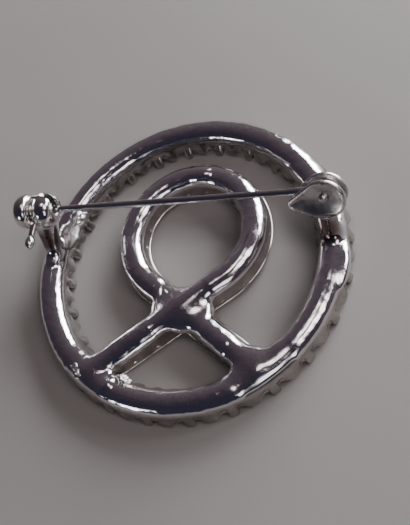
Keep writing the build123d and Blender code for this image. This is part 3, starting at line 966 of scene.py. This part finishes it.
def ribbon_beads(finish):
    """Grains of metal that hold the ribbon stones, modelled once and copied into one row piece."""
    bpy.ops.mesh.primitive_uv_sphere_add(segments=14, ring_count=10, radius=BEAD_RADIUS,
                                         location=(0, 0, BEAD_LEVEL))
    grain = named("grain")
    take(grain)
    bpy.ops.object.mode_set(mode="EDIT")
    pick(grain, lambda middle, normal: middle.z > BEAD_LEVEL)
    bpy.ops.transform.translate(value=(0, 0, 0.3))
    bpy.ops.object.mode_set(mode="OBJECT")
    rows = [twin(grain, "grain_copy", Matrix.Translation(place)) for place in bead_places()]
    bpy.data.objects.remove(grain)
    finish_cast(joined("ribbon_beads", rows), finish)


# Hinge and catch

# Outline of an ear: a round end on the rivet and a blunt tip along the pin (across, up, radius)
EAR_ROUND = (0.0, -0.3, 2.25)
EAR_TIP = (-2.95, -0.55, 0.76)
EAR_GAP = 0.55
EAR_THICKNESS = 0.5


def ear_outline(middle):
    """Corners of the ear's outline in the plane that the pin swings in."""
    across, up = EAR_TIP[0] - EAR_ROUND[0], EAR_TIP[1] - EAR_ROUND[1]
    way = math.atan2(up, across)
    spread = math.acos((EAR_ROUND[2] - EAR_TIP[2]) / math.hypot(across, up))
    corners = []
    for (x, y, radius), start, sweep, steps in ((EAR_ROUND, way + spread, math.tau - 2 * spread, 44),
                                                (EAR_TIP, way - spread, 2 * spread, 10)):
        for step in range(steps + 1):
            angle = start + sweep * step / steps
            corners.append(middle + Vector((1, 0, 0)) * (x + radius * math.cos(angle))
                           + SWING_WAY * (y + radius * math.sin(angle)))
    return corners


# Raised rim and dished middle of an ear: how far in and how far out
EAR_RIM = {"thickness": 0.24, "depth": 0.05}
EAR_DISH = {"thickness": 0.3, "depth": -0.16}


def hinge_ears(finish):
    """Two cheeks with slightly dished faces on either side of the pin's tongue, and the bridge under it."""
    ears = []
    for side in (-1, 1):
        way = RIVET_WAY * side
        ear = drawn_face("hinge_ear", ear_outline(HINGE + way * EAR_GAP))
        bpy.ops.object.mode_set(mode="EDIT")
        bpy.ops.mesh.select_all(action="SELECT")
        bpy.ops.mesh.extrude_region_move(TRANSFORM_OT_translate={"value": way * EAR_THICKNESS})
        bpy.ops.object.mode_set(mode="OBJECT")
        clean(ear)
        bpy.ops.object.mode_set(mode="EDIT")
        pick(ear, lambda middle, normal: normal.dot(way) > 0.9)
        bpy.ops.mesh.inset(**EAR_RIM)
        bpy.ops.mesh.inset(**EAR_DISH)
        bpy.ops.object.mode_set(mode="OBJECT")
        bevelled(ear, 0.2, 5, 50)
        ears.append(ear)
    ears.append(block("hinge_bridge", HINGE - SWING_WAY * 2.1, (2.0, 2.1, 0.5), facing(SWING_WAY)))
    bevelled(ears[-1], 0.15)
    finish_cast(joined("hinge_ears", ears), finish, smooth=30)


# Rivet: radius, half its length, where its heads begin and how much wider they are
RIVET_RADIUS = 0.4
RIVET_HALF_LENGTH = 1.26
HEAD_FROM = 0.99
HEAD_GROWTH = 2.3


def small_rivet(finish):
    """Rivet through the ears, its ends hammered to low domes."""
    bpy.ops.mesh.primitive_uv_sphere_add(segments=32, ring_count=20, radius=1)
    sizes = Matrix.Diagonal((RIVET_RADIUS, RIVET_RADIUS, RIVET_HALF_LENGTH, 1))
    bpy.context.object.matrix_world = Matrix.Translation(HINGE) @ facing(RIVET_WAY) @ sizes
    rivet = named("small_rivet")
    take(rivet)
    bpy.ops.object.mode_set(mode="EDIT")
    pick(rivet, lambda middle, normal: abs((middle - HINGE).dot(RIVET_WAY)) > HEAD_FROM)
    bpy.ops.mesh.inset(thickness=0.02, depth=0.02)
    for side in (-1, 1):
        pick(rivet, lambda middle, normal: (middle - HINGE).dot(RIVET_WAY) * side > HEAD_FROM)
        bpy.ops.transform.resize(value=(HEAD_GROWTH,) * 3, center_override=HINGE + RIVET_WAY * side * 1.1)
    bpy.ops.object.mode_set(mode="OBJECT")
    finish_piece(rivet, "brooch", finish, "hinge_rivet", smooth=60)


# Turn of the catch's turned pieces, whose axis runs along X
ALONG_X = facing(Vector((1, 0, 0)), Vector((0, 0, 1)))

# Half outline of the barrel: radius and distance from its middle
BARREL_OUTLINE = [
    (0.66, 2.42), (1.05, 2.44), (1.42, 2.36), (1.68, 2.2), (1.86, 1.95), (1.98, 1.6), (2.04, 1.25),
    (2.03, 0.98), (1.95, 0.78), (1.84, 0.66), (1.72, 0.6), (1.83, 0.52), (1.83, 0.48), (1.71, 0.4),
    (1.82, 0.32), (1.82, 0.28), (1.7, 0.2), (1.81, 0.12), (1.81, 0.08), (1.7, 0.0),
]


# Openings of the barrel: the mouth that the pin's point drops into, the window that the lever turns in
MOUTH_SIZE = (8, 0.94, 4)
WINDOW_SIZE = (0.96, 5.5, 5.4)


def catch_barrel(finish):
    """Barrel of two domes with ridges between, hollow for the sleeve, its mouth open where the pin's point lies."""
    other_half = [(radius, -level) for radius, level in reversed(BARREL_OUTLINE)]
    outline = [(1.15, 2.24), (0.66, 2.24)] + BARREL_OUTLINE + other_half
    outline += [(0.66, -2.24), (1.15, -2.24), (1.15, 2.24)]
    barrel = lathe("catch_barrel", outline, Matrix.Translation(CATCH) @ ALONG_X)
    mouth_place = CATCH + SWING_WAY * 2 + Vector((3.7, 0, 0))
    cut_away(barrel, block("mouth", mouth_place, MOUTH_SIZE, facing(SWING_WAY)))
    cut_away(barrel, block("window", CATCH + Vector((0, -2.25, 2.2)), WINDOW_SIZE))
    bevelled(barrel, 0.015, 2, 50)
    finish_cast(barrel, finish, smooth=35)


# Slot of the sleeve, first block of the lever's arm, and its steps outwards: growth and reach
SLOT_SIZE = (8, 0.96, 4)
ARM_SIZE = (0.8, 0.2, 0.62)
ARM_STEPS = ((0.94, 0.9), (0.88, 0.7), (0.9, 0.6))


def turning_lever(finish):
    """Slotted sleeve that closes the catch, with a slim lever and an oval knob."""
    profile = [(0.6, 2.2), (1.02, 2.2), (1.1, 2.12)]
    for groove in range(5):
        middle = 0.4 - 0.2 * groove
        profile += [(1.1, middle + 0.06), (0.96, middle), (1.1, middle - 0.06)]
    profile += [(1.1, -2.12), (1.02, -2.2), (0.6, -2.2), (0.6, 2.2)]
    sleeve = lathe("sleeve", profile, Matrix.Translation(CATCH) @ ALONG_X, 64)
    cut_away(sleeve, block("slot", CATCH + SWING_WAY * 2, SLOT_SIZE, facing(SWING_WAY)))
    arm = block("arm", CATCH + Vector((0, -0.92, 0)), ARM_SIZE)
    take(arm)
    bpy.ops.object.mode_set(mode="EDIT")
    pick(arm, lambda middle, normal: normal.y < -0.9)
    for grown, reach in ARM_STEPS:
        bpy.ops.mesh.extrude_region_move(TRANSFORM_OT_translate={"value": (-0.05, -reach, -0.04)})
        bpy.ops.transform.resize(value=(grown, 1, grown))
    bpy.ops.object.mode_set(mode="OBJECT")
    bevelled(arm, 0.12, 3, 50)
    knob = lump("knob", CATCH + Vector((-0.18, -3.95, -0.12)), (0.56, 0.9, 0.5))
    lever = joined("turning_lever", [sleeve, arm, knob])
    finish_piece(lever, "lever", finish, "catch_lever")


# Solder beside the catch: middle, three radii, turn about Z in degrees
PATCHES = (
    ((-15.5, 4.1, 2.35), (1.65, 2.5, 0.85), 14),
    ((-14.6, 5.7, 2.3), (1.1, 1.5, 0.8), 20),
)


def catch_patch(finish):
    """Solder flooded over the ring beside the catch's neck."""
    patch = joined("catch_patch", [lump("patch", Vector(place), radii, turn) for place, radii, turn in PATCHES])
    finer = patch.modifiers.new("finer", "REMESH")
    finer.mode = "VOXEL"
    finer.voxel_size = 0.13
    add_clouds(patch, "patch_crust", 1.3, 1, 0.28)
    apply_all(patch)
    finish_cast(patch, finish, smooth=60)


def build_scene():
    """Everything: camera, light, floor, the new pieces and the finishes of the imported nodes."""
    place_camera()
    light_room()
    lay_floor()
    # Polished metal, with painted dark reflection round the hinge leg and the catch neck
    casting = plated_finish("polished_metal", (0.84, 0.81, 0.83), (0.7, 0.66, 0.7), 0.09, 0.03, PAINTED_DARK_SPOTS)
    rough_casting = plated_finish("rough_solder", (0.74, 0.72, 0.71), (0.6, 0.57, 0.56), 0.2, 0.02)
    satin = satin_finish("satin_walls", (0.52, 0.485, 0.46), (0.38, 0.35, 0.33), 0.24)
    # Darker copy of the satin walls, for the ribbon's walls: painted shade and painted dark reflection of the
    # shadowed floor
    shaded = satin_finish("shaded_walls", (0.44, 0.4, 0.385), (0.3, 0.27, 0.26), 0.22)
    dull = satin_finish("dull_cheeks", (0.62, 0.58, 0.57), (0.44, 0.4, 0.4), 0.27)
    matt = satin_finish("matt_solder", (0.36, 0.34, 0.33), (0.24, 0.22, 0.22), 0.42)
    turned = plated_finish("catch_metal", (0.8, 0.78, 0.77), (0.62, 0.59, 0.58), 0.12, 0.008)
    wire = wire_finish()
    glass = stone_finish()
    seats = cast_back(casting)
    ring_walls(seats, satin)
    strand_wall(-1, seats, shaded)
    strand_wall(1, seats, shaded)
    bpy.data.objects.remove(seats)
    ring_claws(satin)
    ribbon_beads(satin)
    solder_scars(rough_casting)
    catch_patch(matt)
    hinge_ears(dull)
    small_rivet(dull)
    catch_barrel(turned)
    turning_lever(turned)
    node_finishes = {"brooch_frame": casting, "hinge_rivet": casting, "pin_stem": wire, "catch_lever": turned}
    for name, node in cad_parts.items():
        for slot in node.material_slots:
            slot.material = node_finishes.get(name, glass)


build_scene()
